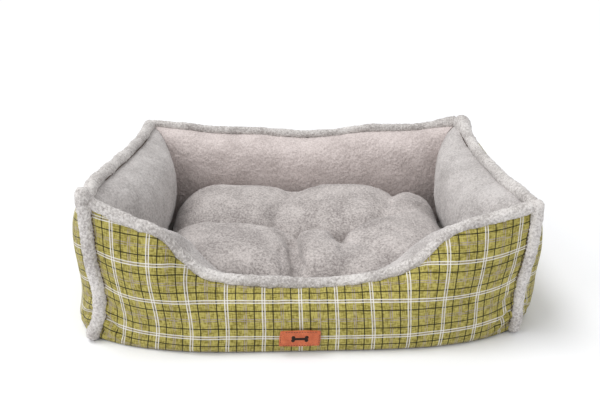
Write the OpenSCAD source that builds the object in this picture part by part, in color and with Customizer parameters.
// Rectangular pet bed: four stuffed walls round a loose tufted cushion.
// Each wall is a plaid outer panel and a plush inner panel sewn round its own filling.
// Plush bindings cover the top seam of each wall and the four corner seams.
// Millimetres. X runs left to right, Y front to back, Z up. The floor is Z = 0.

/* [Bed] */
// Distance between the left and right corner seams
seam_span_x = 560; // [500:1:620]
// Distance between the front and back corner seams
seam_span_y = 424; // [380:1:480]
// Height of the top seam at the four corners
corner_h = 196; // [175:1:215]
// How far the top seam of the back wall sags in the middle
back_sag = 16; // [0:1:25]
// How far the top seam of each side wall rises in the middle
side_rise = 8; // [0:1:12]

/* [Entrance] */
// Height of the front top seam in the middle, where the pet steps in
entry_h = 77; // [65:1:105]
// Half of the width over which the entrance stays low
entry_flat = 78; // [50:1:110]
// Distance from the middle at which the front seam is back to corner height
entry_reach = 246; // [200:1:255]

/* [Stuffing] */
// How far the front and back walls bulge outwards
bulge_long = 48; // [20:1:54]
// How far the left and right walls bulge outwards
bulge_side = 52; // [20:1:64]
// How far each wall reaches inwards at the mitred corners
depth_corner = 44; // [30:1:60]
// How far the side walls reach inwards in the middle
depth_side = 68; // [55:1:70]
// How far the front and back walls reach inwards in the middle
depth_long = 57; // [50:1:58]

/* [Fabric] */
// Thickness of the woven plaid
plaid_t = 1.5; // [1:0.1:2.5]
// Thickness of the plush with its pile
plush_t = 3; // [2:0.5:4]
// Thickness of the underside and floor sheets
sheet_t = 2; // [1:0.5:3]
// Radius of the plush bindings
binding_r = 9; // [7:0.5:10]

/* [Cushion] */
// Half of the cushion's length
cushion_a = 216; // [160:1:217]
// Half of the cushion's width
cushion_b = 157; // [110:1:158]
// Height of the cushion's tallest puffs above the floor
cushion_top_z = 102; // [80:1:110]
// Depth of the tufts below the puffs
tuft_depth = 32; // [10:1:36]
// Depth of the fold between the front and back rows of puffs
fold_depth = 16; // [0:1:24]

/* [Label] */
// Width of the label patch
label_w = 53; // [40:1:70]
// Height of the label patch
label_h = 22; // [16:1:26]

/* [Hidden] */

FRONT = 0;
RIGHT = 1;
BACK = 2;
LEFT = 3;
SIDES = [FRONT, RIGHT, BACK, LEFT];

gap = 0.3;                // space left between pieces that touch in the sewn bed
wall_z = sheet_t + gap;   // the walls stand on the underside sheet
pinch = 4.2;              // half of a wall's thickness where its panels meet under the top binding
seam_room = 1.3;          // between a top binding and the panels' top edges
fill_gap = 0.6;           // between a wall's filling and its panels
corner_cut = 8;           // the walls stop this far short of a corner, beside its binding
corner_out = 2;           // a corner binding's axis stands this far outside the seam, in X and in Y
binding_stop = 2.5;       // a top binding stops this much shorter of a corner than its wall
edge_power = 4;           // how squarely a wall's bulge fills out between two corners
foot_slack = 0.6;         // share of a wall's inward reach that is lost at its foot
foot_tuck = [0.05, 0.28]; // the same for its outward bulge: long walls, then side walls
levels = 8;               // steps up a wall
level_power = 1.5;        // above 1, these steps get shorter towards the top
binding_sides = 10;
cushion_stations = 20;
cushion_steps = 12;       // steps over the cushion's top, and as many under it
cushion_mid_z = 44;       // height of the cushion's side seam
cushion_end = 0.985;      // share of the half length at which the cushion's mesh ends
cushion_floor = wall_z + sheet_t + gap;
fill_inset = 5.5;         // the cushion's filling stays this far inside its covers' outer faces
tufts = [[-16, -52], [46, -50]];
tuft_width = 30;
fold_y = -20;             // the fold between the rows of puffs runs along X at this Y
fold_width = 24;
tie_r = 1.2;
tie_slack = 12;           // the ties end this far below the bottom of a tuft
label_x = -13;
label_z = 22;             // height of the label's middle
label_t = 1.4;
label_corner_r = 3;
label_lift = 1.5;         // clears the front panel's curve behind the label
stitch_r = 0.35;
stitch_len = 2.2;
stitch_pitch = 3.6;
stitch_edge = 1.6;        // distance of the label's stitches from its edge

plaid_colour = [0.68, 0.65, 0.31];
plush_colour = [0.79, 0.76, 0.75];
lining_colour = [0.62, 0.60, 0.58];
wadding_colour = [0.95, 0.95, 0.93];
leather_colour = [0.80, 0.43, 0.28];
thread_colour = [0.30, 0.18, 0.13];

// ---- The shape of a wall -----------------------------------------------------------------

function span_of(side) = side % 2 == 0 ? seam_span_x : seam_span_y;
function across_of(side) = side % 2 == 0 ? seam_span_y : seam_span_x;
function stations_of(side) = side == FRONT ? 48 : 20;
function smooth(t) = let (c = max(0, min(1, t))) c * c * (3 - 2 * c);

// Places along a wall from -1 to 1, closer together towards its corners.
function along(side) = [for (k = [0:stations_of(side)]) sin(180 * (k / stations_of(side) - 0.5))];

// 1 along most of a wall and 0 at its corners.
function fullness(s) = 1 - pow(abs(s), edge_power);

// Height of a wall's top seam, and the length of that seam for each unit of run along the wall.
function top_of(side, s) =
    side == FRONT
        ? entry_h + (corner_h - entry_h)
            * smooth((abs(s) * seam_span_x / 2 - entry_flat) / (entry_reach - entry_flat))
        : side == BACK ? corner_h - back_sag * (1 - s * s)
        : corner_h + side_rise * fullness(s);
function slope_of(side, s) =
    (top_of(side, s + 0.01) - top_of(side, s - 0.01)) / (0.01 * span_of(side));
function stretch_of(side, s) = norm([1, slope_of(side, s)]);

// Height at which a wall's panels end, just under its binding.
function panel_top(side, s) = top_of(side, s) - (binding_r + seam_room) * stretch_of(side, s);

// Inward reach of a wall and outward bulge, both at height z, measured from the seam line.
function inner_at(side, s, z) =
    let (
        mid = side % 2 == 0 ? depth_long : depth_side,
        q = min(1, z / panel_top(side, s))
    )
    pinch
        + (depth_corner - pinch + (mid - depth_corner) * fullness(s))
            * pow(1 - pow(q, 6), 0.6) * (1 - foot_slack * pow(1 - q, 2));
function outer_at(side, s, z) =
    let (
        bulge = side % 2 == 0 ? bulge_long : bulge_side,
        q = min(1, z / panel_top(side, s))
    )
    -fullness(s)
        * (pinch
            + (bulge - pinch)
                * pow(1 - pow(q, 3.4), 0.62) * (1 - foot_tuck[side % 2] * pow(1 - q, 3)));

// A wall's end follows the mitre between two walls, and steps back beside the corner binding.
function end_cut(t) = gap + corner_cut * max(0, 1 - max(0, t) / (2 * corner_cut));

// A point of a wall: w along it, t inwards from the seam line, z up.
function place(side, w, t, z) =
    let (d = across_of(side) / 2 - t)
    side == FRONT ? [w, -d, z]
    : side == RIGHT ? [d, w, z]
    : side == BACK ? [-w, d, z]
    : [-d, -w, z];
function wall_point(side, s, t, z) =
    place(side, s * (span_of(side) / 2 - max(0, t) - end_cut(t)), t, z);

function level_z(side, s, i) =
    wall_z + (panel_top(side, s) - wall_z) * (1 - pow(1 - i / levels, level_power));
function outer_line(side, s, inset, last = levels) = [
    for (i = [0:last])
        let (z = level_z(side, s, i)) wall_point(side, s, outer_at(side, s, z) + inset, z)
];
function inner_line(side, s, inset, last = levels) = [
    for (i = [0:last])
        let (z = level_z(side, s, i)) wall_point(side, s, inner_at(side, s, z) - inset, z)
];
function reversed(points) = [for (i = [len(points) - 1:-1:0]) points[i]];

// ---- Solids from rings of points ---------------------------------------------------------

// A closed solid through rings that all have the same even number of points.
// A ring is one line out and another back, so its end cap is a strip between the two. Both lines
// are cut into triangles the same way, so that a solid fits inside another made from the same lines.
module loft(rings) {
    n = len(rings[0]);
    last = (len(rings) - 1) * n;
    skin = [
        for (k = [0:len(rings) - 2], i = [0:n - 1])
            let (j = (i + 1) % n, a = k * n, b = (k + 1) * n)
            each i < n / 2
                ? [[a + i, a + j, b + j], [a + i, b + j, b + i]]
                : [[a + i, a + j, b + i], [a + j, b + j, b + i]]
    ];
    caps = [
        for (i = [0:n / 2 - 2])
            let (c = n - 2 - i, d = n - 1 - i)
            each [
                [i, d, c], [i, c, i + 1],
                [last + i, last + c, last + d], [last + i, last + i + 1, last + c]
            ]
    ];
    polyhedron(points = [for (ring = rings) each ring], faces = concat(skin, caps), convexity = 6);
}

module outer_panel(side)
    color(plaid_colour)
        loft([
            for (s = along(side))
                concat(outer_line(side, s, 0), reversed(outer_line(side, s, plaid_t)))
        ]);

module inner_panel(side)
    color(plush_colour)
        loft([
            for (s = along(side))
                concat(inner_line(side, s, plush_t), reversed(inner_line(side, s, 0)))
        ]);

// A filling stops one level short of the top, where the two panels close in on each other.
module filling(side)
    color(wadding_colour)
        loft([
            for (s = along(side))
                concat(
                    outer_line(side, s, plaid_t + fill_gap, levels - 1),
                    reversed(inner_line(side, s, plush_t + fill_gap, levels - 1))
                )
        ]);

// ---- Bindings ----------------------------------------------------------------------------

// A roll of plush along a wall's top seam, round across its own run.
module top_binding(side) {
    half_run = span_of(side) / 2 - corner_cut - binding_stop;
    color(plush_colour)
        loft([
            for (s = along(side))
                let (w = s * half_run, lean = atan(slope_of(side, s)))
                [
                    for (j = [0:binding_sides - 1])
                        let (
                            a = 180 + (j + 0.5) * 360 / binding_sides,
                            out = -binding_r * sin(a)
                        )
                        place(
                            side,
                            w - out * sin(lean),
                            binding_r * cos(a),
                            top_of(side, s) + out * cos(lean)
                        )
                ]
        ]);
}

// A roll of plush standing in a corner seam, with rounded ends.
module corner_binding(right, back) {
    dome = binding_r * 0.6;
    straight = binding_r - dome;
    top = corner_h + binding_r * 0.8;
    color(plush_colour)
        translate([
            (right ? 1 : -1) * (seam_span_x / 2 + corner_out),
            (back ? 1 : -1) * (seam_span_y / 2 + corner_out),
            0
        ])
            rotate_extrude($fn = 48)
                polygon(concat(
                    [[0, 0], [straight, 0]],
                    [for (a = [-75:15:0]) [straight + dome * cos(a), dome + dome * sin(a)]],
                    [for (a = [0:15:75]) [straight + dome * cos(a), top - dome + dome * sin(a)]],
                    [[straight, top], [0, top]]
                ));
}

// ---- Sheets under the cushion ------------------------------------------------------------

module underside_sheet()
    color(lining_colour)
        linear_extrude(sheet_t)
            polygon([
                for (side = SIDES, s = along(side))
                    let (p = wall_point(side, s, outer_at(side, s, 0), 0)) [p[0], p[1]]
            ]);

// The lining ends where the walls' inner panels stand at the height of its upper face.
module floor_lining()
    color(lining_colour)
        translate([0, 0, wall_z])
            linear_extrude(sheet_t)
                polygon([
                    for (side = SIDES, s = along(side))
                        let (p = wall_point(side, s, inner_at(side, s, wall_z + sheet_t) + gap, 0))
                        [p[0], p[1]]
                ]);

// ---- Label -------------------------------------------------------------------------------

// The front panel's lean where the label is sewn on.
label_low = outer_at(FRONT, 0, label_z - label_h / 2);
label_high = outer_at(FRONT, 0, label_z + label_h / 2);
label_lean = atan((label_high - label_low) / label_h);

// Puts a child, drawn flat with its face up, on the front panel at the label's place.
module on_label(lift)
    translate([label_x, -seam_span_y / 2 + (label_low + label_high) / 2, label_z])
        rotate([90 - label_lean, 0, 0])
            translate([0, 0, label_lift + lift])
                children();

module label_patch() {
    half_w = label_w / 2 - label_corner_r;
    half_h = label_h / 2 - label_corner_r;
    color(leather_colour)
        on_label(0)
            linear_extrude(label_t)
                union() {
                    square([2 * half_w, label_h], center = true);
                    square([label_w, 2 * half_h], center = true);
                    for (x = [-half_w, half_w], y = [-half_h, half_h])
                        translate([x, y])
                            circle(r = label_corner_r, $fn = 32);
                }
}

module label_stitching() {
    x_edge = label_w / 2 - stitch_edge;
    y_edge = label_h / 2 - stitch_edge;
    x_count = floor((2 * x_edge - 4) / stitch_pitch);
    y_count = floor((2 * y_edge - 4) / stitch_pitch);
    color(thread_colour)
        on_label(label_t + stitch_r + 0.02)
            union() {
                for (k = [0:x_count], y = [-y_edge, y_edge])
                    translate([(k - x_count / 2) * stitch_pitch - stitch_len / 2, y, 0])
                        rotate([0, 90, 0])
                            cylinder(h = stitch_len, r = stitch_r, $fn = 16);
                for (k = [0:y_count], x = [-x_edge, x_edge])
                    translate([x, (k - y_count / 2) * stitch_pitch + stitch_len / 2, 0])
                        rotate([90, 0, 0])
                            cylinder(h = stitch_len, r = stitch_r, $fn = 16);
            }
}

// ---- Cushion -----------------------------------------------------------------------------

// How far the tufts and the fold between the rows pull the top down at a place.
function pull(x, y) =
    max(
        fold_depth * exp(-pow((y - fold_y) / fold_width, 2)),
        tuft_depth
            * max([for (t = tufts) exp(-pow(norm([x - t[0], y - t[1]]) / tuft_width, 2))])
    );

// A line over (up = 1) or under (up = -1) the cushion, at a share s of its half length.
function cushion_line(s, inset, up) =
    let (
        half = (cushion_b - inset) * pow(1 - pow(abs(s), 5), 0.2),
        rise_s = pow(1 - pow(abs(s), up > 0 ? 2.6 : 5), up > 0 ? 0.45 : 0.25),
        full = (up > 0 ? cushion_top_z - cushion_mid_z : cushion_mid_z - cushion_floor) - inset
    )
    [
        for (k = [0:cushion_steps])
            let (
                x = s * (cushion_a - inset),
                c = cos(180 * k / cushion_steps),
                y = half * sign(c) * pow(abs(c), 0.7),
                edge = max(0, 1 - pow(abs(y) / half, up > 0 ? 2.6 : 5)),
                rise = rise_s * pow(edge, up > 0 ? 0.55 : 0.35),
                lift = up > 0 ? (full - pull(x, y)) * rise : -full * rise
            )
            [x, y, cushion_mid_z + lift + up * gap]
    ];
cushion_along = [
    for (k = [0:cushion_stations]) cushion_end * sin(180 * (k / cushion_stations - 0.5))
];

module cushion_cover_top()
    color(plush_colour)
        loft([
            for (s = cushion_along)
                concat(cushion_line(s, plush_t, 1), reversed(cushion_line(s, 0, 1)))
        ]);

module cushion_cover_underside()
    color(lining_colour)
        loft([
            for (s = cushion_along)
                concat(cushion_line(s, 0, -1), reversed(cushion_line(s, plaid_t, -1)))
        ]);

module cushion_filling()
    color(wadding_colour)
        loft([
            for (s = cushion_along)
                concat(
                    cushion_line(s, fill_inset, -1),
                    reversed(cushion_line(s, fill_inset, 1))
                )
        ]);

module tuft_ties() {
    foot = cushion_floor + fill_inset;
    color(thread_colour)
        for (t = tufts)
            translate([t[0], t[1], foot])
                cylinder(h = cushion_top_z - tuft_depth - tie_slack - foot, r = tie_r, $fn = 24);
}

// ---- Nodes -------------------------------------------------------------------------------

underside_sheet();
floor_lining();
outer_panel(FRONT);  // front_outer_panel
outer_panel(RIGHT);  // right_outer_panel
outer_panel(BACK);  // back_outer_panel
outer_panel(LEFT);  // left_outer_panel
inner_panel(FRONT);  // front_inner_panel
inner_panel(RIGHT);  // right_inner_panel
inner_panel(BACK);  // back_inner_panel
inner_panel(LEFT);  // left_inner_panel
filling(FRONT);  // front_filling
filling(RIGHT);  // right_filling
filling(BACK);  // back_filling
filling(LEFT);  // left_filling
top_binding(FRONT);  // front_top_binding
top_binding(RIGHT);  // right_top_binding
top_binding(BACK);  // back_top_binding
top_binding(LEFT);  // left_top_binding
corner_binding(true, false);  // front_right_corner_binding
corner_binding(true, true);  // back_right_corner_binding
corner_binding(false, true);  // back_left_corner_binding
corner_binding(false, false);  // front_left_corner_binding
label_patch();
label_stitching();
cushion_cover_top();
cushion_cover_underside();
cushion_filling();
tuft_ties();
